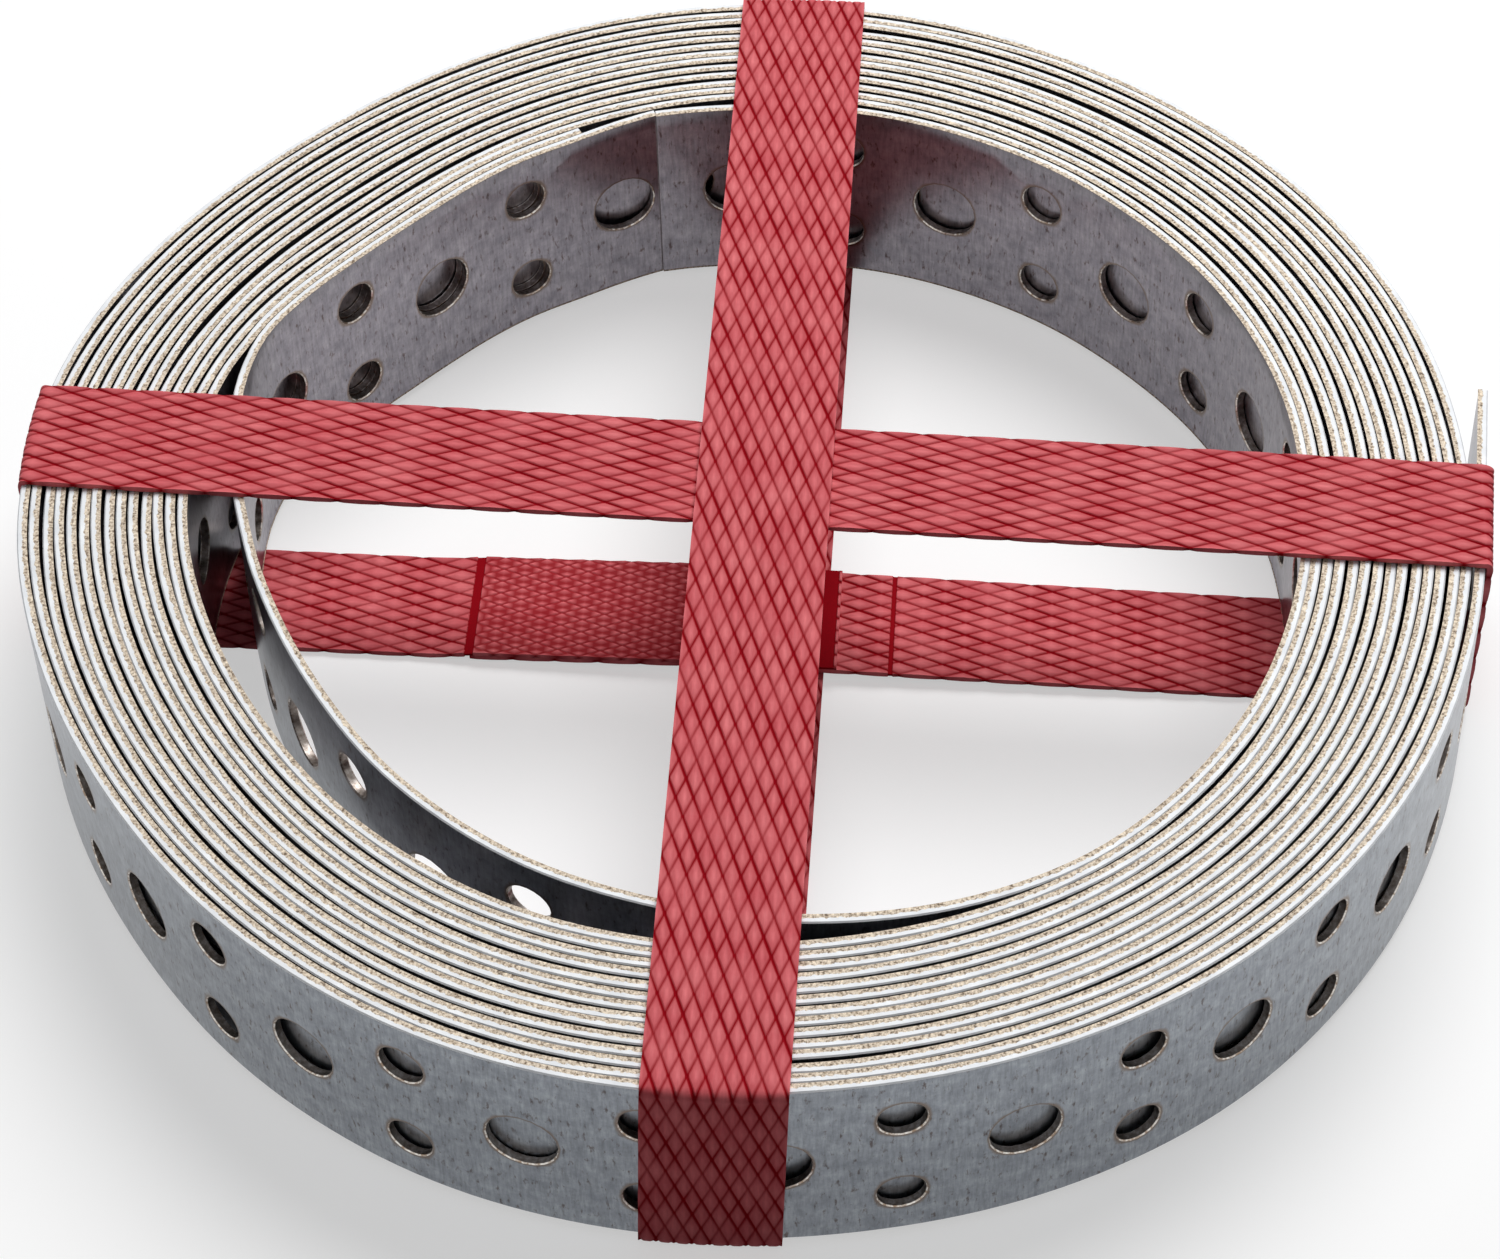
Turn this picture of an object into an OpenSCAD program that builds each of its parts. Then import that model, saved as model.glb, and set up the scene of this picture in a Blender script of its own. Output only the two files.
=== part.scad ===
// Coil of perforated steel strap, bound by two plastic bands, lying on its side.
// Millimetres, +Z up. The coil's axis is the Z axis and the floor is z = 0.
// Directions are degrees around +Z, from +X towards +Y.

/* [Strap] */
// Width of the steel strap
strap_w = 20; // [16:0.5:30]
// Thickness of the steel strap
strap_t = 0.8; // [0.5:0.05:1.2]
// Distance along the strap from one large hole to the next
hole_pitch = 20; // [16:0.5:30]
// Diameter of the large holes on the centre line
large_d = 6; // [4:0.25:8]
// Diameter of the small holes, which stand in pairs midway between the large ones
small_d = 4; // [2.5:0.25:5]
// Distance across the strap between the two holes of a pair
pair_gap = 10; // [8:0.5:11]

/* [Coil] */
// Diameter of the open bore inside the wound turns
bore_d = 97; // [80:1:120]
// Number of turns in the tight pack
turns = 14; // [8:1:20]
// Clear gap between neighbouring turns
turn_gap = 0.25; // [0.15:0.05:0.4]
// Depth of the gaps between the turns on each end of the coil
gap_depth = 1.2; // [0.6:0.1:3]
// Direction of one pair of holes on the outer turn
outer_pair_at = 210; // [190:1:230]

/* [Inner end] */
// Direction of the seam where two cut ends meet in the innermost turn
seam_at = 104.5; // [98:0.5:112]
// Angle from the seam to the first large hole past it
seam_hole_after = 4; // [4:0.5:12]
// Angle from the seam back to the last large hole before it
seam_hole_before = 8.8; // [4:0.1:12]
// Direction where the loose stretch leaves the pack
loose_from = 159; // [150:1:170]
// Direction where the loose stretch comes back to the pack
loose_to = 301; // [290:1:310]
// How far the loose stretch stands in from the pack
loose_dip = 6; // [4:0.1:8]
// Direction of one large hole in the loose stretch
loose_hole_at = 211.3; // [200:0.1:225]

/* [Outer end] */
// Direction where the outer end leaves the pack
tail_at = 2.7; // [1:0.1:5]
// Length of the free outer end
tail_len = 12.8; // [8:0.1:18]
// Angle by which the outer end springs out from the tangent
tail_spring = 3; // [1:0.5:6]

/* [Bands] */
// Width of both binding bands
band_w = 11.7; // [8:0.1:15]
// Thickness of both binding bands
band_t = 0.6; // [0.4:0.05:1]
// Clearance of the bands from the outer turn and from each other
band_clear = 0.1; // [0.05:0.05:0.3]
// Sideways place of the lengthwise band
long_shift = 0.9; // [-4:0.1:4]
// Sideways place of the crosswise band
cross_shift = 2; // [-4:0.1:4]
// Angle of the crosswise band to the X axis
cross_turn = -1.9; // [-5:0.1:5]
// Length of the crosswise band's welded overlap
weld_len = 33; // [20:1:60]
// Place of the middle of the welded overlap along the crosswise band
weld_at = -9.4; // [-15:0.1:15]

/* [Hidden] */
$fn = 96;

bore_r = bore_d / 2;
turn_pitch = strap_t + turn_gap;
coil_r = bore_r + turns * turn_pitch - turn_gap;
coil_low = band_t;
coil_top = coil_low + strap_w;
mid_z = coil_low + strap_w / 2;
full_turn = 360;
// A cut runs this far past the face that it opens
past = 1;
// Depth to which the loose stretch and the tail are sunk into the pack that they grow from
root = 0.2;
outer_step = angle_of(hole_pitch, coil_r - strap_t / 2);
inner_step = angle_of(hole_pitch, bore_r + strap_t / 2);
loose_step = angle_of(hole_pitch, bore_r - loose_dip / 2);
// Room that a hole keeps from the ends of its stretch of strap
hole_room = angle_of(large_d, bore_r);
band_reach = coil_r + band_clear;
band_rise = band_t + band_clear;

// Angle in degrees of an arc of the given length and radius
function angle_of(length, radius) = length / radius * 180 / PI;

// Centre-line radius of the loose stretch at a direction
function loose_part(a) = min(1, max(0, (a - loose_from) / (loose_to - loose_from)));
function loose_bow(a) = pow(sin(180 * pow(loose_part(a), 0.75)), 1.5);
function loose_r(a) = bore_r - strap_t / 2 + root - loose_dip * loose_bow(a);
// Angle between the loose stretch and the tangent at a direction
function loose_lean(a) = atan2(loose_r(a + 1) - loose_r(a - 1), 2 * loose_r(a) * PI / 180);
function on_circle(radius, a) = radius * [cos(a), sin(a)];

// Half section of the pack: a comb whose teeth are the edges of the turns
module turns_section() {
    function turn_in(i) = bore_r + i * turn_pitch;
    function turn_out(i) = turn_in(i) + strap_t;
    low = [for (i = [0 : turns - 1]) each [
        if (i > 0) [turn_in(i), coil_low + gap_depth],
        [turn_in(i), coil_low],
        [turn_out(i), coil_low],
        if (i < turns - 1) [turn_out(i), coil_low + gap_depth]
    ]];
    high = [for (i = [turns - 1 : -1 : 0]) each [
        if (i < turns - 1) [turn_out(i), coil_top - gap_depth],
        [turn_out(i), coil_top],
        [turn_in(i), coil_top],
        if (i > 0) [turn_in(i), coil_top - gap_depth]
    ]];
    polygon(concat(low, high));
}

// The loose stretch of the innermost turn, which stands in from the pack
module loose_stretch() {
    steps = 48;
    angles = [for (i = [0 : steps]) loose_from + (loose_to - loose_from) * i / steps];
    outer_side = [for (a = angles) on_circle(loose_r(a) + strap_t / 2, a)];
    inner_side = [for (i = [steps : -1 : 0]) on_circle(loose_r(angles[i]) - strap_t / 2, angles[i])];
    translate([0, 0, coil_low])
        linear_extrude(strap_w)
            polygon(concat(outer_side, inner_side));
}

// Places its children where the outer end leaves the pack, with +X along the free end
module at_tail() {
    rotate([0, 0, tail_at])
        translate([coil_r - strap_t, 0, 0])
            rotate([0, 0, 90 - tail_spring])
                children();
}

// The free outer end, straight, with its root sunk into the outer turn
module tail() {
    root_len = 2 * strap_t;
    at_tail()
        translate([-root_len, -strap_t, coil_low])
            cube([tail_len + root_len, strap_t, strap_w]);
}

// A hole's cutter, from the given radius outwards, along a direction
module radial_cutter(d, a, z, from_r, length, lean = 0) {
    rotate([0, 0, a])
        translate([from_r + length / 2, 0, z])
            rotate([0, 0, -lean])
                rotate([0, 90, 0])
                    cylinder(d = d, h = length, center = true);
}

// One large hole at a direction, and one pair of small holes at another
module large_hole(a, from_r, length, lean = 0) {
    radial_cutter(large_d, a, mid_z, from_r, length, lean);
}

module small_pair(a, from_r, length, lean = 0) {
    for (side = [-1, 1])
        radial_cutter(small_d, a, mid_z + side * pair_gap / 2, from_r, length, lean);
}

// Pairs and large holes by turns between two directions, counted both ways from one pair
module hole_row(pair_at, step, first, last, from_r) {
    reach = ceil(full_turn / step) * 2;
    for (i = [-reach : reach]) {
        a = pair_at + i * step / 2;
        if (a > first && a < last) {
            if (i % 2 == 0)
                small_pair(a, from_r, turn_pitch + past);
            else
                large_hole(a, from_r, turn_pitch + past);
        }
    }
}

// Holes of the outer turn, each as deep as one turn and its gap
module outer_holes() {
    first = tail_at + hole_room;
    last = tail_at + full_turn - hole_room;
    hole_row(outer_pair_at, outer_step, first, last, coil_r - turn_pitch);
}

// Holes in the inner face of the pack, out of step at the seam
module inner_holes() {
    half = hole_room / 2;
    after = seam_at + seam_hole_after + inner_step / 2;
    before = seam_at - seam_hole_before - inner_step / 2;
    hole_row(after, inner_step, seam_at + half, loose_from - half, bore_r - past);
    hole_row(before, inner_step, loose_to - full_turn + half, seam_at - half, bore_r - past);
}

// The cut across the innermost turn at the seam
module seam_cut() {
    rotate([0, 0, seam_at])
        translate([bore_r - past, 0, coil_low - past])
            cube([strap_t + past, turn_gap, strap_w + 2 * past]);
}

// Holes through the loose stretch, where it stands clear of the pack
module loose_holes() {
    length = 3 * strap_t;
    reach = ceil((loose_to - loose_from) / loose_step) * 2;
    for (i = [-reach : reach]) {
        a = loose_hole_at + i * loose_step / 2;
        if (loose_dip * loose_bow(a) > 2 * strap_t) {
            from_r = loose_r(a) - length / 2;
            if (i % 2 == 0)
                large_hole(a, from_r, length, loose_lean(a));
            else
                small_pair(a, from_r, length, loose_lean(a));
        }
    }
}

module perforated_strap() {
    color("lightsteelblue")
        difference() {
            union() {
                rotate_extrude()
                    turns_section();
                loose_stretch();
                tail();
            }
            outer_holes();
            inner_holes();
            loose_holes();
            seam_cut();
        }
}

// Upright outline of a band's loop, with its four folds rounded
module band_outline() {
    half = band_reach + band_t;
    high = coil_top + band_t;
    fold_r = band_t;
    translate([-half, fold_r])
        square([2 * half, high - 2 * fold_r]);
    translate([fold_r - half, 0])
        square([2 * (half - fold_r), high]);
    for (side = [-1, 1])
        for (z = [fold_r, high - fold_r])
            translate([side * (half - fold_r), z])
                circle(fold_r);
}

// The shallow hump of a band over the other one, across the bore, on a sunken base
module hump(middle, base) {
    crown = band_w / 2 + 5 * band_clear;
    span = bore_r - abs(middle);
    translate([middle, base])
        polygon([
            [-span, -band_t / 2], [-span, 0], [-crown, band_rise],
            [crown, band_rise], [span, 0], [span, -band_t / 2]
        ]);
}

module band_inside() {
    translate([-band_reach, coil_low])
        square([2 * band_reach, strap_w]);
}

// Gives an upright outline the width of a band
module band_slab() {
    rotate([90, 0, 0])
        linear_extrude(band_w, center = true)
            children();
}

// Runs along Y, outside the other band where they cross
module lengthwise_band() {
    color("indianred")
        translate([long_shift, 0, 0])
            rotate([0, 0, 90])
                difference() {
                    union() {
                        band_slab() band_outline();
                        band_slab() hump(cross_shift, coil_top + band_t);
                    }
                    band_slab() band_inside();
                    band_slab() hump(cross_shift, coil_top);
                }
}

// Second layer of the lower run, where the band's two ends are welded together
module weld_overlap() {
    intersection() {
        hump(long_shift, 2 * band_t);
        translate([weld_at - weld_len / 2, coil_low])
            square([weld_len, strap_w]);
    }
}

// Runs along X, with its welded overlap on the lower run
module crosswise_band() {
    color("crimson")
        translate([0, cross_shift, 0])
            rotate([0, 0, cross_turn])
                union() {
                    difference() {
                        band_slab() band_outline();
                        band_slab() band_inside();
                        band_slab() hump(long_shift, 0);
                    }
                    difference() {
                        band_slab() hump(long_shift, band_t);
                        band_slab() hump(long_shift, 0);
                    }
                    band_slab() weld_overlap();
                }
}

perforated_strap();
lengthwise_band();
crosswise_band();
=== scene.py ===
import math

import bmesh
import bpy
import numpy as np
from mathutils import Matrix, Vector


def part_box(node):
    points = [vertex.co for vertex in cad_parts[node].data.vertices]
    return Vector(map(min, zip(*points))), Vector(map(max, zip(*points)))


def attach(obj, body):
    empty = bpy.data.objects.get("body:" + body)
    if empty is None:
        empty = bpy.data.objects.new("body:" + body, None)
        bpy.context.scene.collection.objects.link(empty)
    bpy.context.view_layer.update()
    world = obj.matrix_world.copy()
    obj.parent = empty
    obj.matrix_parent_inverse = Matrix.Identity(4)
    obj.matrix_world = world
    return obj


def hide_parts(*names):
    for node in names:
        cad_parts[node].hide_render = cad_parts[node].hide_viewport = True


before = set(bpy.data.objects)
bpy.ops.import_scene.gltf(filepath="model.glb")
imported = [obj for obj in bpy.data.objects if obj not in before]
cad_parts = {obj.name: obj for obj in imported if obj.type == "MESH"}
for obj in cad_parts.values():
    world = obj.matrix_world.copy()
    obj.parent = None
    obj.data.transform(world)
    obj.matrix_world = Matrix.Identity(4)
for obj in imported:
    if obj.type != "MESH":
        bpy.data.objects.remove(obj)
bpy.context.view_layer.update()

# Sizes here are millimetres and degrees; meshes are written in metres
MM = 0.001
FULL_TURN = 360.0


def node_box(node):
    """Lowest and highest corner of a CAD node, in millimetres."""
    low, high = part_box(node)
    return np.array(low) / MM, np.array(high) / MM


# Strap
strap_low, strap_high = node_box("perforated_strap")
COIL_R = (strap_high[0] - strap_low[0]) / 2
COIL_LOW = strap_low[2]
STRAP_W = strap_high[2] - strap_low[2]
COIL_TOP = COIL_LOW + STRAP_W
STRAP_T = 0.8
TURN_PITCH = 1.05
HOLE_PITCH = 20.0
LARGE_R = 3.0
SMALL_R = 2.0
# The edge's corner is rolled over by this much on the outer side, and a burr stands out on the inner side
EDGE_OUT = 0.12
BURR = 0.07
# The rims of the holes in the outermost and innermost turns are rolled over by this much on both faces
RIM_ROLL = 0.1

# Winding, as directions counted on around the coil from +X towards +Y
SEAM_AT = 104.4
SEAM_GAP = 0.08
INNER_END_AT = 113.0
TURNS_WOUND = 14
TAIL_AT = -3.6
TAIL_TURN = TAIL_AT + TURNS_WOUND * FULL_TURN
TAIL_LEN = 18.6
TAIL_STEPS = 23
# Slope of the straight tail, outwards from +Y
TAIL_LEAN = 0.057
# Direction of one pair of holes on the outer turn
OUTER_PAIR_AT = 210.4
# The wound strap's own length, at which its first holes lie behind those of the innermost turn
WOUND_LEN = 4784.5
# The ring's strap: from its first cut end to a large hole, on to its last one, and to the other cut end
RING_HOLE_AFTER = 3.6
RING_PITCHES = 14
RING_HOLE_BEFORE = 7.3
RING_LEN = RING_HOLE_AFTER + RING_PITCHES * HOLE_PITCH + RING_HOLE_BEFORE

# The coil is a little out of round: lobes, height, direction of a crest
OUT_OF_ROUND = ((2, 0.31, 95.0), (3, 0.46, 65.0), (4, 0.27, 85.0), (5, 0.34, 101.0))
# Small waves that differ from one turn to the next, in its radius and in the level of its edges:
# height, waves in a turn, and phase
RIPPLES = ((0.045, 5.37, 0.0), (0.035, 9.61, 1.0), (0.02, 17.23, 2.0))
EDGE_LIFTS = ((0.07, 0.83, 0.0), (0.06, 2.41, 0.7), (0.03, 6.7, 0.0))
# Degrees between the points of the winding
WINDING_STEP = 1.0
# How far the innermost turn stands in from the inward run of the wound spiral, along the ring
RING_GAPS = (
    (104.4, -1.22), (109.0, -0.80), (114.0, -0.42), (121.0, -0.36), (127.0, -0.15), (133.0, 0.15),
    (140.0, 0.38), (146.0, 0.34), (153.0, 0.00), (159.0, -0.15), (164.0, 0.40), (170.0, 1.40),
    (178.0, 2.75), (186.0, 4.00), (197.0, 4.55), (225.0, 4.45), (245.0, 3.85), (264.0, 2.85),
    (275.0, 1.85), (286.0, 0.90), (297.0, 0.20), (306.0, -0.15), (314.0, -0.18), (340.0, -0.18),
    (380.0, -0.18), (396.0, -0.15), (410.0, -0.05), (420.0, -0.12), (440.0, 0.10), (456.0, 0.45),
    (464.4, 0.00),
)
# The wound strap's inner end lies on the innermost turn up to the fork, where it parts from it
FORK_FROM = 157.0
FORK_TO = 165.0
LYING_GAP = 0.03
# The turns over the inner end are pressed in: direction, depth, half width in degrees, and number of turns
PRESSED_AT = 140.0
PRESSED_DEPTH = 0.75
PRESSED_HALF = 13.0
PRESSED_TURNS = 9

# Bands
BAND_W = 11.5
BAND_T = 0.6
DIAMONDS_ACROSS = 8
DIAMOND_LEN = 3.84
EMBOSS = 0.18
# Sideways place of each band's lower and upper run, to the left of its way, and its turn in degrees
LONG_LOWER, LONG_UPPER = (-0.3, -0.2), (-0.92, 0.0)
CROSS_LOWER, CROSS_UPPER = (2.45, -1.1), (1.36, -1.83)
# Welded lap of the crosswise band: the end of its under layer, and the end of its upper layer
LAP_FROM = -25.5
LAP_TO = 7.2
# Stripes pressed across the crosswise band, from and to: over each end of the lap and beside it
LAP_STRIPES = ((-26.0, -25.1), (5.6, 7.0))
SIDE_STRIPE = (11.7, 12.2)


def smooth_through(points, at):
    """Smooth curve through given points: cubic steps, with slopes taken from the neighbours."""
    x = np.array([p[0] for p in points])
    y = np.array([p[1] for p in points])
    slope = np.gradient(y, x)
    i = np.clip(np.searchsorted(x, at) - 1, 0, len(x) - 2)
    step = x[i + 1] - x[i]
    t = np.clip((at - x[i]) / step, 0.0, 1.0)
    rise = (2 * t**3 - 3 * t**2 + 1) * y[i] + (3 * t**2 - 2 * t**3) * y[i + 1]
    return rise + step * ((t**3 - 2 * t**2 + t) * slope[i] + (t**3 - t**2) * slope[i + 1])


def out_of_round(turn):
    """How far the coil stands out of a true round at a direction."""
    return sum(h * np.cos(np.radians(n * (turn - crest))) for n, h, crest in OUT_OF_ROUND)


def waves(turn, table):
    """Sum of the waves of a table along the winding."""
    a = np.radians(turn)
    return sum(height * np.sin(count * a + phase) for height, count, phase in table)


def pressed_in(turn):
    """How far the first full turns dip in over the strap's inner end."""
    lap = np.floor(turn / FULL_TURN)
    fade = np.where(lap > 0, np.clip(1 - (lap - 1) / PRESSED_TURNS, 0, 1), 0.0)
    return PRESSED_DEPTH * fade * np.exp(-(((turn % FULL_TURN - PRESSED_AT) / PRESSED_HALF) ** 2))


def wound_radius(turn):
    """Centre-line radius of the wound spiral."""
    level = COIL_R - STRAP_T / 2 - TURN_PITCH * (TAIL_TURN - turn) / FULL_TURN
    return level + out_of_round(turn) + waves(turn, RIPPLES) - pressed_in(turn)


def inner_end_radius(turn):
    """Centre-line radius of the wound strap, which lies on the innermost turn before the fork."""
    share = np.clip((FORK_TO - turn) / (FORK_TO - FORK_FROM), 0, 1)
    share = share**2 * (3 - 2 * share)
    lying = ring_radius(turn) + STRAP_T + LYING_GAP
    return wound_radius(turn) * (1 - share) + lying * share


def ring_radius(turn):
    """Centre-line radius of the innermost turn, inside the first wound one."""
    return wound_radius(turn) - TURN_PITCH - smooth_through(RING_GAPS, turn)


def outer_radius(direction):
    """Radius of the coil's outermost face at a direction."""
    last = direction + FULL_TURN * math.floor((TAIL_TURN - direction) / FULL_TURN)
    return float(wound_radius(last)) + STRAP_T / 2


class Path:
    """Plan of a stretch of strap, measured along its centre line."""

    def __init__(self, turns, radii, tail=0.0, strap_len=None):
        a = np.radians(turns)
        points = np.stack([radii * np.cos(a), radii * np.sin(a)], axis=1)
        if tail:
            way = (points[-1] - points[-2]) / np.linalg.norm(points[-1] - points[-2])
            steps = np.linspace(0.0, tail, TAIL_STEPS + 1)[1:]
            points = np.concatenate([points, points[-1] + steps[:, None] * way])
            turns = np.concatenate([turns, turns[-1] + np.degrees(steps / radii[-1])])
        self.points = points
        self.turns = turns
        hops = np.linalg.norm(np.diff(points, axis=0), axis=1)
        along = np.concatenate([[0.0], np.cumsum(hops)])
        ways = np.gradient(points, along, axis=0)
        ways /= np.linalg.norm(ways, axis=1)[:, None]
        self.outward = np.stack([ways[:, 1], -ways[:, 0]], axis=1)
        self.along = along * (strap_len / along[-1]) if strap_len else along
        self.length = self.along[-1]

    def at_turn(self, turn):
        return float(np.interp(turn, self.turns, self.along))

    def place(self, local):
        """World points of local ones: along the strap, across it and out from its centre line."""
        s, z, n = local.T
        centre = np.stack([np.interp(s, self.along, self.points[:, k]) for k in (0, 1)], axis=1)
        out = np.stack([np.interp(s, self.along, self.outward[:, k]) for k in (0, 1)], axis=1)
        lift = waves(np.interp(s, self.along, self.turns), EDGE_LIFTS)
        return np.column_stack([centre + out * n[:, None], COIL_LOW + z + lift])


class Patch:
    """Grows a mesh in local strap coordinates, with a finish for each face."""

    def __init__(self):
        self.points = []
        self.faces = []
        self.finish = []

    def add(self, points, faces, finish):
        start = len(self.points)
        self.points += [tuple(p) for p in points]
        self.faces += [tuple(start + i for i in f) for f in faces]
        self.finish += [finish] * len(faces)


FACE, EDGE, WALL = 0, 1, 2
# Points nearer than this are one point
ONE_POINT = 1e-4
# Longest step along a stretch without holes
PLAIN_STEP = 1.6
# The strap's map starts this far on for each further stretch, so that no two stretches look alike
MAP_SHIFT = 1000.0
# Folds sharper than these are shaded as corners
STRAP_CORNER = 35.0
BAND_CORNER = 20.0
# A stretch without holes that is shorter than this is left out
LEAST_PLAIN = 0.01
# A hole nearer than this to a cut end is left out
LEAST_RIM = 0.3
HALF_CELL = HOLE_PITCH / 2
SIDE_STEPS = 6
SIDE = np.linspace(-HALF_CELL / 2, HALF_CELL / 2, SIDE_STEPS + 1)


def square_ring():
    """Points round a square of half a hole pitch, from its lower left corner."""
    lower = [(x, SIDE[0]) for x in SIDE[:-1]]
    right = [(SIDE[-1], y) for y in SIDE[:-1]]
    upper = [(-x, SIDE[-1]) for x in SIDE[:-1]]
    left = [(SIDE[0], -y) for y in SIDE[:-1]]
    return np.array(lower + right + upper + left)


def on_strap(z):
    """A place across the strap, kept between its rolled and burred edges."""
    return np.clip(z, EDGE_OUT, STRAP_W - EDGE_OUT)


def cut_side(before):
    """Steps along a half cell, with those before its hole drawn in to the given distance."""
    return np.where(SIDE < 0, SIDE * before / SIDE[-1], SIDE)


def pierced_square(patch, z_mid, radius, steps, roll):
    """A square of strap with a round hole, both its faces and the hole's wall with its rolled rims."""
    square = square_ring()
    angle = np.arctan2(square[:, 1], square[:, 0])
    circle = np.stack([np.cos(angle), np.sin(angle)], axis=1)
    half = STRAP_T / 2
    n = len(square)
    after = [(i + 1) % n for i in range(n)]
    for side in (1, -1):
        depth = side * half
        rim = [(x, z_mid + y, depth) for x, y in (radius + roll) * circle]
        border = [(np.interp(x, SIDE, steps), on_strap(z_mid + y), depth) for x, y in square]
        quads = [(i, n + i, n + after[i], after[i]) for i in range(n)]
        patch.add(rim + border, [q if side > 0 else q[::-1] for q in quads], FACE)
    levels = [(radius + roll, half), (radius, half - roll), (radius, roll - half), (radius + roll, -half)]
    if not roll:
        levels = [levels[0], levels[-1]]
    walls = [(r * x, z_mid + r * y, depth) for r, depth in levels for x, y in circle]
    quads = [
        (k * n + i, k * n + after[i], (k + 1) * n + after[i], (k + 1) * n + i)
        for k in range(len(levels) - 1)
        for i in range(n)
    ]
    patch.add(walls, quads, WALL)


def plain_block(patch, s_list, z_list):
    """A plain rectangle of strap, both its faces."""
    rows = len(z_list)
    for side in (1, -1):
        grid = [(s, on_strap(z), side * STRAP_T / 2) for s in s_list for z in z_list]
        quads = [
            (i * rows + j, (i + 1) * rows + j, (i + 1) * rows + j + 1, i * rows + j + 1)
            for i in range(len(s_list) - 1)
            for j in range(rows - 1)
        ]
        patch.add(grid, [q if side > 0 else q[::-1] for q in quads], FACE)


def edge_section(top):
    """The strap's sheared edge from its outer face to its inner face, across the thickness."""
    half = STRAP_T / 2
    low = [(EDGE_OUT, half), (0.0, half - EDGE_OUT), (0.0, -half - BURR), (EDGE_OUT, -half)]
    return [(STRAP_W - z, n) for z, n in low] if top else low


def edges(patch, s_list):
    """Both sheared edges along a stretch of strap."""
    for top in (True, False):
        section = edge_section(top)
        k = len(section)
        points = [(s, z, n) for s in s_list for z, n in section]
        quads = [
            (i * k + j, (i + 1) * k + j, (i + 1) * k + j + 1, i * k + j + 1)
            for i in range(len(s_list) - 1)
            for j in range(k - 1)
        ]
        patch.add(points, [q if top else q[::-1] for q in quads], EDGE)


def end_cap(patch, s, z_list, first):
    """The cut end of the strap."""
    half = STRAP_T / 2
    outer = [(s, on_strap(z), half) for z in z_list]
    inner = [(s, on_strap(z), -half) for z in z_list]
    top = [(s, z, n) for z, n in edge_section(True)[1:-1]]
    low = [(s, z, n) for z, n in edge_section(False)[1:-1]]
    loop = outer + top + inner[::-1] + low[::-1]
    order = tuple(range(len(loop)))
    patch.add(loop, [order if first else order[::-1]], WALL)


CELL_ROWS = np.arange(2 * SIDE_STEPS + 1) * (STRAP_W / (2 * SIDE_STEPS))


def half_cell(number, roll, steps=SIDE):
    """Half a hole pitch of strap: a pair of small holes in even ones and a large hole in odd ones."""
    patch = Patch()
    if number % 2:
        pierced_square(patch, STRAP_W / 2, LARGE_R, steps, roll)
        quarter = SIDE_STEPS // 2 + 1
        plain_block(patch, steps, CELL_ROWS[:quarter])
        plain_block(patch, steps, CELL_ROWS[-quarter:])
    else:
        pierced_square(patch, STRAP_W / 4, SMALL_R, steps, roll)
        pierced_square(patch, 3 * STRAP_W / 4, SMALL_R, steps, roll)
    edges(patch, steps)
    return patch


def plain_cell(length):
    """A stretch of strap without holes."""
    patch = Patch()
    steps = np.linspace(0.0, length, max(2, int(length / PLAIN_STEP) + 1))
    plain_block(patch, steps, CELL_ROWS)
    edges(patch, steps)
    return patch


def strap_stretch(path, pair_along, rolled_from):
    """A cut length of strap, its rims rolled from a place on: points, faces, finishes, local points."""
    cells = {roll: [half_cell(number, roll) for number in (0, 1)] for roll in (0.0, RIM_ROLL)}
    first = math.ceil((HALF_CELL / 2 - pair_along) / HALF_CELL)
    last = math.floor((path.length - HALF_CELL / 2 - pair_along) / HALF_CELL)
    pieces = []
    for i in range(first, last + 1):
        along = pair_along + i * HALF_CELL
        roll = RIM_ROLL if along > rolled_from else 0.0
        pieces.append((cells[roll][i % 2], along))
    lead = pair_along + first * HALF_CELL - HALF_CELL / 2
    rest = path.length - (pair_along + last * HALF_CELL + HALF_CELL / 2)
    hole_at = lead - HALF_CELL / 2
    if hole_at > LARGE_R + LEAST_RIM:
        roll = RIM_ROLL if hole_at > rolled_from else 0.0
        pieces.append((half_cell(first - 1, roll, cut_side(hole_at)), hole_at))
        lead = 0.0
    for length, start in ((lead, 0.0), (rest, path.length - rest)):
        if length > LEAST_PLAIN:
            pieces.append((plain_cell(length), start))
    caps = Patch()
    end_cap(caps, 0.0, CELL_ROWS, True)
    end_cap(caps, path.length, CELL_ROWS, False)
    pieces.append((caps, 0.0))
    local, faces, finish = [], [], []
    count = 0
    for patch, start in pieces:
        local.append(np.array(patch.points) + (start, 0.0, 0.0))
        faces += [tuple(count + i for i in f) for f in patch.faces]
        finish += patch.finish
        count += len(patch.points)
    local = np.concatenate(local)
    return path.place(local), faces, finish, local


def merged(points, faces, local):
    """Joins points that lie at one place, and keeps the order of the faces."""
    keys = np.round(points / ONE_POINT).astype(np.int64)
    _, first, back = np.unique(keys, axis=0, return_index=True, return_inverse=True)
    back = back.reshape(-1)
    return points[first], [tuple(back[i] for i in f) for f in faces], local[first]


def make_object(name, points, faces, materials, finish=None):
    """A new object from points in millimetres, with the number of a material for each face."""
    mesh = bpy.data.meshes.new(name)
    mesh.from_pydata((points * MM).tolist(), [], faces)
    for material in materials:
        mesh.materials.append(material)
    if finish is not None:
        mesh.polygons.foreach_set("material_index", np.array(finish, dtype=np.int32))
    mesh.polygons.foreach_set("use_smooth", np.ones(len(mesh.polygons), dtype=bool))
    mesh.update()
    obj = bpy.data.objects.new(name, mesh)
    bpy.context.scene.collection.objects.link(obj)
    return obj


def vertex_values(obj, name, values):
    """A named value at each point, for the materials."""
    layer = obj.data.attributes.new(name, "FLOAT", "POINT")
    layer.data.foreach_set("value", np.asarray(values, dtype=np.float32))


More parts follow.
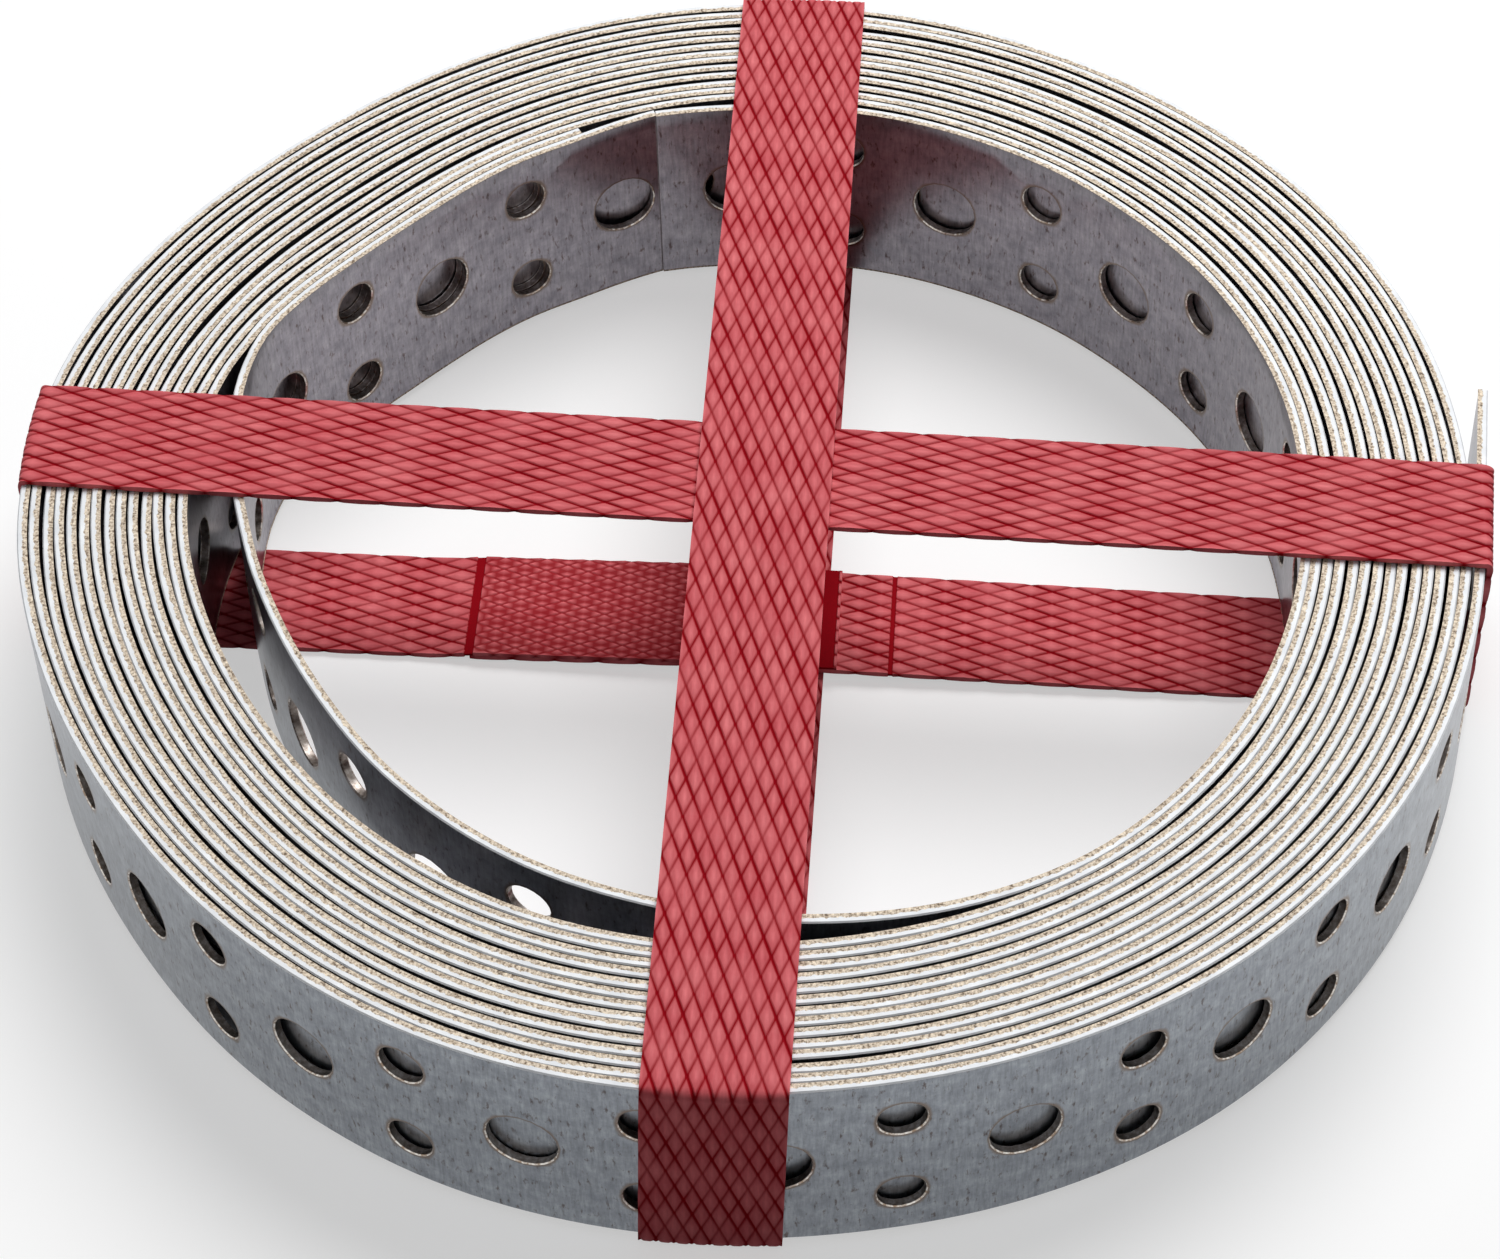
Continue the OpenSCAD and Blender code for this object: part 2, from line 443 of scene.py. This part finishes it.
def vertex_uv(obj, name, uv):
    """A map of the surface that follows the points: along and across, in metres."""
    mesh = obj.data
    layer = mesh.uv_layers.new(name=name)
    corner = np.empty(len(mesh.loops), dtype=np.int32)
    mesh.loops.foreach_get("vertex_index", corner)
    layer.data.foreach_set("uv", (np.asarray(uv)[corner] * MM).astype(np.float32).ravel())


def build_strap(materials):
    """The wound strap and its innermost turn as one object."""
    ring_end = SEAM_AT + FULL_TURN - SEAM_GAP
    wound = np.append(np.arange(INNER_END_AT, TAIL_TURN, WINDING_STEP), TAIL_TURN)
    ring = np.append(np.arange(SEAM_AT, ring_end, WINDING_STEP), ring_end)
    wound_path = Path(wound, inner_end_radius(wound), tail=TAIL_LEN, strap_len=WOUND_LEN)
    ring_path = Path(ring, ring_radius(ring), strap_len=RING_LEN)
    outer_pair = wound_path.at_turn(OUTER_PAIR_AT + (TURNS_WOUND - 1) * FULL_TURN)
    ring_pair = RING_HOLE_AFTER + HALF_CELL
    last_turn = wound_path.at_turn(TAIL_TURN - FULL_TURN)
    points, faces, finish, local = [], [], [], []
    count = 0
    for path, pair, rolled_from in ((wound_path, outer_pair, last_turn), (ring_path, ring_pair, 0.0)):
        p, f, m, loc = strap_stretch(path, pair, rolled_from)
        p, f, loc = merged(p, f, loc)
        points.append(p)
        local.append(loc + (MAP_SHIFT * len(local), 0.0, 0.0))
        faces += [tuple(count + i for i in q) for q in f]
        finish += m
        count += len(p)
    points, local = np.concatenate(points), np.concatenate(local)
    obj = make_object("perforated_strap_wound", points, faces, materials, finish)
    obj.data.set_sharp_from_angle(angle=math.radians(STRAP_CORNER))
    # Hole walls are quads, and a cut end is one face of many corners
    rim = np.zeros(len(points))
    for face, kind in zip(faces, finish):
        if kind == WALL and len(face) == 4:
            rim[list(face)] = 1.0
    vertex_values(obj, "rim", rim)
    # From 0 on the inner face to 1 on the outer face
    vertex_values(obj, "outward", local[:, 2] / STRAP_T + 0.5)
    vertex_uv(obj, "strap", local[:, :2])
    return obj


# A bend sharper than this, in radians, is a fold, and an easier one has this many times its radius
FOLD_FROM = 0.8
EASY_BEND = 12
# Smaller turns and steps count as none
NO_TURN = 1e-4
NO_STEP = 1e-6
# Points round a bend, longest step along the line, and the least change of way that counts as a bend
BEND_POINTS = 17
LINE_STEP = 0.25
LEAST_BEND = 0.05


class Loop:
    """Upright loop of a band: its centre line in the plane of the run and the height."""

    def __init__(self, corners, fold_r, closed, lower, upper, along_y, tail_lean=None):
        self.closed, self.along_y, self.tail_lean = closed, along_y, tail_lean
        self.lower, self.upper = lower, upper
        points = self.rounded(np.array(corners, dtype=float), fold_r, closed)
        hops = np.linalg.norm(np.diff(points, axis=0), axis=1)
        keep = np.append(True, hops > NO_STEP)
        self.points = points[keep]
        hops = np.linalg.norm(np.diff(self.points, axis=0), axis=1)
        self.along = np.concatenate([[0.0], np.cumsum(hops)])
        self.length = self.along[-1]
        ways = np.diff(self.points, axis=0) / hops[:, None]
        self.middle = (self.along[:-1] + self.along[1:]) / 2
        self.ways = ways
        bent = np.linalg.norm(np.diff(ways, axis=0), axis=1) > LEAST_BEND
        self.bends = self.along[1:-1][bent][::2]

    @staticmethod
    def rounded(corners, fold_r, closed):
        """The corners as one fine line, with the folds and the easier bends rounded."""
        count = len(corners)
        line = []
        for i in range(count):
            here = corners[i]
            if not closed and i in (0, count - 1):
                line.append(here[None])
                continue
            before, after = corners[i - 1], corners[(i + 1) % count]
            a = (before - here) / np.linalg.norm(before - here)
            b = (after - here) / np.linalg.norm(after - here)
            turn = math.pi - math.acos(np.clip(a @ b, -1, 1))
            if turn < NO_TURN:
                line.append(here[None])
                continue
            radius = fold_r if turn > FOLD_FROM else EASY_BEND * fold_r
            cut = radius * math.tan(turn / 2)
            t = np.linspace(0, 1, BEND_POINTS)[:, None]
            line.append((1 - t) ** 2 * (here + a * cut) + 2 * t * (1 - t) * here + t**2 * (here + b * cut))
        if closed:
            line.append(line[0][:1])
        fine = np.concatenate(line)
        steps = [fine[:1]]
        for p, q in zip(fine[:-1], fine[1:]):
            n = max(1, int(np.linalg.norm(q - p) / LINE_STEP))
            steps.append(p + (q - p) * (np.arange(1, n + 1) / n)[:, None])
        return np.concatenate(steps)

    def at(self, s):
        """Centre points and outward normals at distances along the loop."""
        p = np.stack([np.interp(s, self.along, self.points[:, k]) for k in (0, 1)], axis=1)
        w = np.stack([np.interp(s, self.middle, self.ways[:, k]) for k in (0, 1)], axis=1)
        w /= np.linalg.norm(w, axis=1)[:, None]
        return p, np.stack([w[:, 1], -w[:, 0]], axis=1)


# Lines of a diamond's mesh, as shares of its side, and their depths: groove, shoulder, middle, shoulder
DIAMOND_LINES = np.array([0.0, 0.15, 0.5, 0.85])
LINE_DEPTH = np.array([1.0, 0.3, 0.0, 0.3])
# In the weld the diamonds of both layers are pressed into each other
WELD_DEPTH = np.array([0.6, 0.0, 0.6, 0.0])
# Depths of the two families of grooves on a band's outer side; on the inner side they change places
LONG_GROOVES = (1.0, 0.75)
CROSS_GROOVES = (0.75, 1.0)
# A pressed stripe's sides slope over this run, down to this depth
STRIPE_SLOPE = 0.12
STRIPE_DEPTH = 0.9
# The embossing is uneven: its mean depth, the swing about it, and the two waves that make the swing,
# as waves round the loop, slant across the band, and phase
WORN_MEAN = 0.8
WORN_SWING = 0.2
WORN_WAVES = ((29, 0.9, 0.0), (11, -0.7, 1.0))


def lattice_value(index):
    """Place of a mesh line, counted in diamonds."""
    return index // len(DIAMOND_LINES) + DIAMOND_LINES[index % len(DIAMOND_LINES)]


def worn(share, across):
    """Uneven depth of the embossing, between 0.6 and 1, at a share of the loop and a place across."""
    a = 2 * math.pi * share
    first, second = [np.sin(n * a + slant * across + phase) for n, slant, phase in WORN_WAVES]
    return WORN_MEAN + WORN_SWING * first * second


def flat_lattice(length, grooves, weld):
    """Flat mesh of an embossed band along the diamonds' grooves, as run, place across and depth."""
    lines = len(DIAMOND_LINES)
    across = DIAMONDS_ACROSS * lines
    diamonds = round(length / DIAMOND_LEN)
    along = 2 * diamonds * lines
    columns = range(-across, across + 1)
    pairs = [(d, s) for s in range(along + 1) for d in columns if (d + s) % 2 == 0]
    number = {pair: i for i, pair in enumerate(pairs)}
    faces = []
    for s in range(-1, along):
        for d in columns:
            ring = [(d, s), (d + 1, s + 1), (d, s + 2), (d - 1, s + 1)]
            found = [number[pair] for pair in ring if pair in number]
            if len(found) > 2:
                faces.append(found)
    d, s = np.array(pairs).T
    i, j = (s + d) // 2, (s - d) // 2
    u, v = lattice_value(i), lattice_value(j)
    x = (u - v) / (2 * DIAMONDS_ACROSS) * BAND_W
    run = (u + v) / 2 * length / diamonds
    plain = np.maximum(grooves[0] * LINE_DEPTH[i % lines], grooves[1] * LINE_DEPTH[j % lines])
    plain *= worn(run / length, x)
    doubled = np.maximum(WELD_DEPTH[i % lines], WELD_DEPTH[j % lines])
    depth = np.where((run > weld[0]) & (run < weld[1]), doubled, plain)
    return np.column_stack([run, x, depth]), faces


def cut_across(points, faces, cuts, closed):
    """The flat mesh with lines added across it at the given runs, and its border, by pairs of points."""
    flat = bmesh.new()
    corners = [flat.verts.new(p) for p in points]
    for face in faces:
        flat.faces.new([corners[i] for i in face])
    for cut in cuts:
        parts = flat.verts[:] + flat.edges[:] + flat.faces[:]
        bmesh.ops.bisect_plane(flat, geom=parts, dist=ONE_POINT, plane_co=(cut, 0, 0), plane_no=(1, 0, 0))
    if closed:
        runs = (points[:, 0].max(), 0.0)
        ends = [[v for v in flat.verts if abs(v.co.x - run) < 10 * ONE_POINT] for run in runs]
        last, first = [sorted(row, key=lambda v: v.co.y) for row in ends]
        bmesh.ops.weld_verts(flat, targetmap=dict(zip(last, first)))
    flat.verts.index_update()
    points = np.array([v.co for v in flat.verts])
    faces = [tuple(v.index for v in face.verts) for face in flat.faces]
    border = []
    for edge in flat.edges:
        if edge.is_boundary:
            corner = edge.link_loops[0]
            border.append((corner.vert.index, corner.link_loop_next.vert.index))
    flat.free()
    return points, faces, border


def leaned(points, lower, upper):
    """Points of a band along X, set to the sideways place and turn of its lower and upper runs."""
    rise = points[:, 2] / COIL_TOP
    shift = lower[0] + (upper[0] - lower[0]) * rise
    slope = np.tan(np.radians(lower[1] + (upper[1] - lower[1]) * rise))
    return np.column_stack([points[:, 0], points[:, 1] + shift + slope * points[:, 0], points[:, 2]])


def band_solid(loop, grooves, weld, stripes):
    """Points, faces, runs, places across and depths of an embossed band with two matching sides."""
    cuts = list(loop.bends)
    for start, end in stripes:
        cuts += [start, start + STRIPE_SLOPE, end - STRIPE_SLOPE, end]
    sides, depths = [], []
    for side, families in ((1, grooves), (-1, grooves[::-1])):
        flat, faces = flat_lattice(loop.length, families, weld)
        flat, faces, border = cut_across(flat, faces, cuts, loop.closed)
        run, x, depth = flat.T
        for start, end in stripes:
            depth[(run > start + STRIPE_SLOPE / 2) & (run < end - STRIPE_SLOPE / 2)] = STRIPE_DEPTH
        centre, out = loop.at(run)
        # The upright runs follow the coil's round, but lie flat where they lean on the tail
        bulge = -(x**2) / (2 * COIL_R)
        if loop.tail_lean is not None:
            bulge = np.where(out[:, 0] > 0, loop.tail_lean * x, bulge)
        off = side * (BAND_T / 2 - EMBOSS * depth)
        upright = centre + out * off[:, None]
        upright[:, 0] += bulge * out[:, 0]
        sides.append(np.column_stack([upright[:, 0], x, upright[:, 1]]))
        depths.append(depth)
    count = len(x)
    points = leaned(np.concatenate(sides), loop.lower, loop.upper)
    if loop.along_y:
        points = points[:, (1, 0, 2)] * (-1, 1, 1)
    back_faces = [tuple(count + i for i in face[::-1]) for face in faces]
    rims = [(b, a, count + a, count + b) for a, b in border]
    return points, faces + back_faces + rims, run, x, np.concatenate(depths)


def build_band(name, loop, materials, grooves, weld=(0.0, 0.0), stripes=()):
    """A band as an object, with its weld and pressed stripes as runs along the loop."""
    points, faces, run, x, depth = band_solid(loop, grooves, weld, stripes)
    obj = make_object(name, points, faces, materials)
    obj.data.set_sharp_from_angle(angle=math.radians(BAND_CORNER))
    vertex_values(obj, "groove", depth)
    vertex_uv(obj, "band", np.concatenate([np.stack([run, x], axis=1)] * 2))
    return obj


# Radius of a band's centre line at its folds
FOLD_R = 0.75
# The two layers of the lap are melted into each other, so the upper one stands this much higher
FUSED_T = 0.4
# The end of the lap's under layer is lifted by this much
LAP_LIFT = 0.15
# The upper layer starts to climb this far before that end and from this height,
# and it lies on the under layer from this far past the end
LAP_CLIMB = 3.0
LAP_CLIMB_LIFT = 0.1
LAP_STEP = 0.3
# Room between the bands where the crosswise one passes over the other's lower run, and under its crown
LOWER_ROOM = 0.1
CROWN_ROOM = 0.05
# The bands lie this far off the strap's edges and outer turn
OFF = BAND_T / 2 + EMBOSS / 4
BORE_R = COIL_R - TURNS_WOUND * TURN_PITCH


def reach(direction):
    """Distance of a band's upright run from the coil's axis, no further out than the CAD band's."""
    return min(outer_radius(direction), COIL_R) + OFF


def lengthwise_loop():
    """Corners of the lengthwise band, seen along +X: place along +Y, and height."""
    front, back = -reach(270.0), reach(90.0)
    low, high = BAND_T / 2, COIL_TOP + OFF
    crown = high + BAND_T + CROWN_ROOM
    c0, c1 = CROSS_UPPER[0] - BAND_W / 2, CROSS_UPPER[0] + BAND_W / 2
    return [
        (front, low), (back, low), (back, high), (BORE_R, high),
        (c1, crown), (c0, crown), (-BORE_R, high), (front, high),
    ]


def crosswise_loop():
    """Corners of the crosswise band, seen along +Y: place along +X, and height. It starts at the lap."""
    left = -reach(180.0)
    # The right-hand upright run lies on the tail, which is straight from its root on
    root = math.radians(TAIL_AT)
    right = outer_radius(TAIL_AT) * (math.cos(root) - TAIL_LEAN * math.sin(root)) + OFF
    low, high = BAND_T / 2, COIL_TOP + OFF
    over = low + BAND_T + LOWER_ROOM
    lap = over + FUSED_T
    lap_end = low + LAP_LIFT
    c0, c1 = -LONG_LOWER[0] - BAND_W / 2, -LONG_LOWER[0] + BAND_W / 2
    return [
        (LAP_FROM, lap_end), (c0, over), (c1, over), (BORE_R, low),
        (right, low), (right, high), (left, high), (left, low), (-BORE_R, low),
        (LAP_FROM - LAP_CLIMB, low + LAP_CLIMB_LIFT), (LAP_FROM + LAP_STEP, lap_end + FUSED_T),
        (c0, lap), (LAP_TO, lap),
    ]


def node_maker(material_or_world):
    """Short ways to add and join shader nodes."""
    tree = material_or_world.node_tree

    def add(kind, **settings):
        node = tree.nodes.new(kind)
        for key, value in settings.items():
            setattr(node, key, value)
        return node

    return add, tree.links


def new_material(name):
    """A new material, its shader, and short ways to add and join nodes."""
    material = bpy.data.materials.new(name)
    material.use_nodes = True
    return material, material.node_tree.nodes["Principled BSDF"], *node_maker(material)


def noise(add, links, vector, scale, detail, rough):
    """Noise on a map, in waves to the metre."""
    node = add("ShaderNodeTexNoise")
    node.inputs["Scale"].default_value = scale
    node.inputs["Detail"].default_value = detail
    node.inputs["Roughness"].default_value = rough
    links.new(vector, node.inputs["Vector"])
    return node.outputs["Fac"]


def ramp(add, links, fac, stops):
    """Colours at stops along a factor."""
    node = add("ShaderNodeValToRGB")
    band = node.color_ramp
    while len(band.elements) < len(stops):
        band.elements.new(0.5)
    for element, (place, colour) in zip(band.elements, stops):
        element.position = place
        element.color = (*colour, 1.0)
    links.new(fac, node.inputs["Fac"])
    return node.outputs["Color"]


def mix(add, links, fac, a, b, kind="MIX"):
    """Two colours mixed by a factor, each a socket or a plain value."""
    node = add("ShaderNodeMix", data_type="RGBA", blend_type=kind)
    for socket, value in ((node.inputs["Factor"], fac), (node.inputs["A"], a), (node.inputs["B"], b)):
        if hasattr(value, "is_linked"):
            links.new(value, socket)
        else:
            socket.default_value = value
    return node.outputs["Result"]


def stretched(add, links, uv_name, along, across):
    """The surface's own map, with lengths along and across it scaled apart."""
    uv = add("ShaderNodeUVMap", uv_map=uv_name)
    scale = add("ShaderNodeVectorMath", operation="MULTIPLY")
    scale.inputs[1].default_value = (along, across, 1.0)
    links.new(uv.outputs["UV"], scale.inputs[0])
    return scale.outputs["Vector"]


def add_bump(add, links, shader, height, strength, distance):
    """Fine relief from a height, with its depth in metres."""
    bump = add("ShaderNodeBump")
    bump.inputs["Strength"].default_value = strength
    bump.inputs["Distance"].default_value = distance
    links.new(height, bump.inputs["Height"])
    links.new(bump.outputs["Normal"], shader.inputs["Normal"])


def grey(v):
    return (v, v, v)


def zinc_face():
    """Galvanised face: mottled zinc, streaked across the strap, with dark specks and browned rims; tinted
    warmer on the inner face as a painted reflection of the red bands, and bluer on the outer face.
    """
    material, shader, add, links = new_material("galvanised_face")
    even = stretched(add, links, "strap", 1.0, 1.0)
    streaky = stretched(add, links, "strap", 1.0, 0.12)
    short = stretched(add, links, "strap", 1.0, 0.35)
    mottle = noise(add, links, even, 550.0, 6.0, 0.7)
    streak = noise(add, links, streaky, 3400.0, 3.0, 0.65)
    specks = noise(add, links, short, 2200.0, 3.0, 0.6)
    outward = add("ShaderNodeAttribute", attribute_name="outward").outputs["Fac"]
    rim = add("ShaderNodeAttribute", attribute_name="rim").outputs["Fac"]
    base = ramp(add, links, mottle, [
        (0.3, (0.205, 0.215, 0.235)), (0.5, (0.28, 0.29, 0.31)), (0.7, (0.365, 0.38, 0.395)),
    ])
    lined = ramp(add, links, streak, [(0.3, grey(0.52)), (0.62, grey(1.04))])
    dots = ramp(add, links, specks, [(0.30, (0.34, 0.24, 0.20)), (0.42, grey(1.0))])
    # Painted reflection: the inner face is tinted warmer to stand in for the red bands reflected in it,
    # and the outer face is tinted bluer
    side_tint_and_painted_reflection = ramp(add, links, outward, [(0.4, (1.06, 0.96, 1.0)), (0.6, (1.03, 1.07, 1.11))])
    colour = mix(add, links, 0.6, base, lined, "MULTIPLY")
    colour = mix(add, links, 0.85, colour, dots, "MULTIPLY")
    colour = mix(add, links, 1.0, colour, side_tint_and_painted_reflection, "MULTIPLY")
    browned = ramp(add, links, rim, [(0.90, grey(0.0)), (0.97, grey(0.8))])
    colour = mix(add, links, browned, colour, (0.17, 0.12, 0.085, 1.0))
    links.new(colour, shader.inputs["Base Color"])
    shader.inputs["Metallic"].default_value = 0.95
    shader.inputs["Roughness"].default_value = 0.28
    add_bump(add, links, shader, streak, 0.25, 0.00003)
    return material


def sheared_edge():
    """Cut edge: a bright sheared half on the outer side and a rough half with brown specks."""
    material, shader, add, links = new_material("sheared_edge")
    even = stretched(add, links, "strap", 1.0, 1.0)
    place = add("ShaderNodeNewGeometry").outputs["Position"]
    outward = add("ShaderNodeAttribute", attribute_name="outward").outputs["Fac"]
    ragged = noise(add, links, place, 1700.0, 4.0, 0.65)
    shift = add("ShaderNodeMath", operation="MULTIPLY_ADD")
    shift.inputs[1].default_value = 0.7
    links.new(ragged, shift.inputs[0])
    links.new(outward, shift.inputs[2])
    torn = ramp(add, links, shift.outputs[0], [(0.74, grey(1.0)), (0.82, grey(0.0))])
    grain = noise(add, links, place, 4200.0, 3.0, 0.6)
    rusty = ramp(add, links, grain, [
        (0.34, (0.13, 0.09, 0.06)), (0.45, (0.46, 0.37, 0.275)), (0.56, (0.66, 0.57, 0.46)),
        (0.70, (0.90, 0.77, 0.59)),
    ])
    length = noise(add, links, even, 300.0, 3.0, 0.6)
    bright = ramp(add, links, length, [(0.3, (0.67, 0.69, 0.72)), (0.7, (0.86, 0.88, 0.90))])
    links.new(mix(add, links, torn, bright, rusty), shader.inputs["Base Color"])
    shader.inputs["Metallic"].default_value = 0.1
    shader.inputs["Roughness"].default_value = 0.6
    shader.inputs["Specular IOR Level"].default_value = 0.25
    add_bump(add, links, shader, grain, 0.5, 0.00005)
    return material


def punched_wall():
    """Wall of a punched hole or cut end: bare steel, browned, and worn bright at its rims, where the
    colour is raised further as a painted glint.
    """
    material, shader, add, links = new_material("punched_wall")
    place = add("ShaderNodeNewGeometry").outputs["Position"]
    grain = noise(add, links, place, 2500.0, 4.0, 0.6)
    colour = ramp(add, links, grain, [
        (0.3, (0.13, 0.10, 0.08)), (0.55, (0.25, 0.22, 0.20)), (0.7, (0.36, 0.33, 0.31)),
    ])
    outward = add("ShaderNodeAttribute", attribute_name="outward").outputs["Fac"]
    from_middle = add("ShaderNodeMath", operation="SUBTRACT")
    from_middle.inputs[1].default_value = 0.5
    links.new(outward, from_middle.inputs[0])
    away = add("ShaderNodeMath", operation="ABSOLUTE")
    links.new(from_middle.outputs[0], away.inputs[0])
    # Rolled rims: bare steel worn bright, with the colour raised further as a painted glint
    rim_glint_and_wear = ramp(add, links, away.outputs[0], [(0.36, grey(0.0)), (0.40, grey(1.0))])
    bright = ramp(add, links, grain, [(0.40, (0.30, 0.22, 0.16)), (0.58, (0.74, 0.71, 0.66))])
    colour = mix(add, links, rim_glint_and_wear, colour, bright)
    links.new(colour, shader.inputs["Base Color"])
    shader.inputs["Metallic"].default_value = 0.9
    shader.inputs["Roughness"].default_value = 0.35
    return material


def red_plastic():
    """Embossed red strapping: a pale pink body that is a painted sheen on the diamonds, and a deep red
    that darkens towards the grooves, partly the pressed plastic's own colour and partly painted shade.
    """
    material, shader, add, links = new_material("red_strapping")
    even = stretched(add, links, "band", 1.0, 1.0)
    drawn = stretched(add, links, "band", 0.1, 1.0)
    groove = add("ShaderNodeAttribute", attribute_name="groove").outputs["Fac"]
    cloud = noise(add, links, even, 260.0, 4.0, 0.6)
    fibre = noise(add, links, drawn, 5200.0, 3.0, 0.6)
    # Painted sheen: the pale pink body stands in for the diamonds' glossy sheen
    body = ramp(add, links, cloud, [(0.3, (0.68, 0.120, 0.140)), (0.7, (0.84, 0.210, 0.225))])
    fine = ramp(add, links, fibre, [(0.3, grey(0.86)), (0.7, grey(1.0))])
    body = mix(add, links, 1.0, body, fine, "MULTIPLY")
    # Deep red towards the grooves: partly the pressed plastic's own colour, partly painted shade in the
    # recesses, darkening each diamond from its middle to its shoulders
    dark = ramp(add, links, groove, [(0.05, grey(0.0)), (0.70, grey(1.0))])
    colour = mix(add, links, dark, body, (0.27, 0.001, 0.006, 1.0))
    links.new(colour, shader.inputs["Base Color"])
    shader.inputs["Specular IOR Level"].default_value = 0.05
    dull = add("ShaderNodeMapRange")
    dull.inputs["From Max"].default_value = 0.6
    dull.inputs["To Min"].default_value = 0.4
    dull.inputs["To Max"].default_value = 0.8
    links.new(groove, dull.inputs["Value"])
    links.new(dull.outputs["Result"], shader.inputs["Roughness"])
    add_bump(add, links, shader, fibre, 0.15, 0.00003)
    return material


def seat(obj, node):
    """Puts an object in the place of its CAD node."""
    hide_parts(node)
    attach(obj, "root")


strap = build_strap([zinc_face(), sheared_edge(), punched_wall()])
seat(strap, "perforated_strap")

plastic = red_plastic()
long_loop = Loop(lengthwise_loop(), FOLD_R, True, LONG_LOWER, LONG_UPPER, True)
lengthwise = build_band("lengthwise_band_embossed", long_loop, [plastic], LONG_GROOVES)
seat(lengthwise, "lengthwise_band")

cross_loop = Loop(crosswise_loop(), FOLD_R, False, CROSS_LOWER, CROSS_UPPER, False, TAIL_LEAN)
# Runs of the stripes: the lap's on the upper layer, counted from its place 0, and the one beside the lap
upper_zero = cross_loop.length - LAP_TO
press = [(upper_zero + start, upper_zero + end) for start, end in LAP_STRIPES]
weld = (press[0][1], press[1][0])
press.append((SIDE_STRIPE[0] - LAP_FROM, SIDE_STRIPE[1] - LAP_FROM))
crosswise = build_band("crosswise_band_embossed", cross_loop, [plastic], CROSS_GROOVES, weld, press)
seat(crosswise, "crosswise_band")


# Floor, light and camera
PHOTO_W = 1500.0
FOCAL_PX = 4335.0
SENSOR_W = 36.0
VIEW_AZIMUTH = 4.73
VIEW_ELEVATION = 49.09
VIEW_ROLL = -1.59
VIEW_YAW = 0.095
VIEW_PITCH = -0.167
VIEW_DISTANCE = 386.1
# The nearest and farthest distance that the camera draws, the lamp and the floor are in metres
VIEW_CLIP = (0.01, 20.0)
LAMP_SIZE = 0.7
LAMP_POWER = 9.5
LAMP_PLACE = (0.14, 0.5, 0.8)
FLOOR_HALF = 4.0
# Levels for other light, and as the camera and reflections see them
WORLD_LEVELS = (0.15, 1.0)
FLOOR_COLOURS = (0.3, 0.5)
FLOOR_GLOWS = (0.0, 0.5)


def turned(axis, degrees):
    """Rotation about an axis."""
    return Matrix.Rotation(math.radians(degrees), 3, axis)


def add_camera():
    """Camera as the photograph was taken: looking along the view direction, then turned a little."""
    el = math.radians(VIEW_ELEVATION)
    forward = Vector((0, math.cos(el), -math.sin(el)))
    right = Vector((1, 0, 0))
    up = right.cross(forward)
    rows = Matrix((right, -up, forward))
    rows = turned("Z", VIEW_ROLL) @ turned("X", VIEW_PITCH) @ turned("Y", VIEW_YAW) @ rows
    axes = Matrix((rows[0], -rows[1], -rows[2])).transposed()
    place = -forward * VIEW_DISTANCE * MM + Vector((0, 0, COIL_LOW * MM))
    swing = turned("Z", VIEW_AZIMUTH)
    data = bpy.data.cameras.new("photo_camera")
    data.sensor_width = SENSOR_W
    data.lens = FOCAL_PX / PHOTO_W * SENSOR_W
    data.clip_start, data.clip_end = VIEW_CLIP
    camera = bpy.data.objects.new("photo_camera", data)
    camera.matrix_world = Matrix.Translation(swing @ place) @ (swing @ axes).to_4x4()
    bpy.context.scene.collection.objects.link(camera)
    bpy.context.scene.camera = camera


def add_lamp():
    """Round soft lamp above and behind the object, turned to its middle."""
    data = bpy.data.lights.new("overhead_softbox", "AREA")
    data.shape = "DISK"
    data.size = LAMP_SIZE
    data.energy = LAMP_POWER
    lamp = bpy.data.objects.new("overhead_softbox", data)
    lamp.location = LAMP_PLACE
    lamp.rotation_euler = (-Vector(LAMP_PLACE)).to_track_quat("-Z", "Y").to_euler()
    bpy.context.scene.collection.objects.link(lamp)


def by_light_path(material_or_world, unseen, shown):
    """One value where the camera, a reflection or glass sees a surface, and another for other light."""
    add, links = node_maker(material_or_world)
    path = add("ShaderNodeLightPath")
    seen = path.outputs["Is Camera Ray"]
    for kind in ("Is Glossy Ray", "Is Transmission Ray"):
        either = add("ShaderNodeMath", operation="MAXIMUM")
        links.new(seen, either.inputs[0])
        links.new(path.outputs[kind], either.inputs[1])
        seen = either.outputs[0]
    level = add("ShaderNodeMapRange")
    level.inputs["To Min"].default_value = unseen
    level.inputs["To Max"].default_value = shown
    links.new(seen, level.inputs["Value"])
    return level.outputs["Result"]


def add_world():
    """Plain white surroundings that light the object softly."""
    world = bpy.data.worlds.new("studio")
    world.use_nodes = True
    bpy.context.scene.world = world
    background = world.node_tree.nodes["Background"]
    background.inputs["Color"].default_value = (1.0, 1.0, 1.0, 1.0)
    world.node_tree.links.new(by_light_path(world, *WORLD_LEVELS), background.inputs["Strength"])


def add_floor():
    """Plain pale floor, which keeps the object's shadow."""
    corners = np.array([(-1, -1, 0), (1, -1, 0), (1, 1, 0), (-1, 1, 0)]) * FLOOR_HALF / MM
    material, shader, _, links = new_material("pale_floor")
    links.new(by_light_path(material, *FLOOR_COLOURS), shader.inputs["Base Color"])
    links.new(by_light_path(material, *FLOOR_GLOWS), shader.inputs["Emission Strength"])
    shader.inputs["Emission Color"].default_value = (1.0, 1.0, 1.0, 1.0)
    shader.inputs["Roughness"].default_value = 0.9
    floor = make_object("floor", corners, [(0, 1, 2, 3)], [material])


add_world()
add_floor()
add_lamp()
add_camera()
bpy.context.scene.view_settings.view_transform = "Standard"
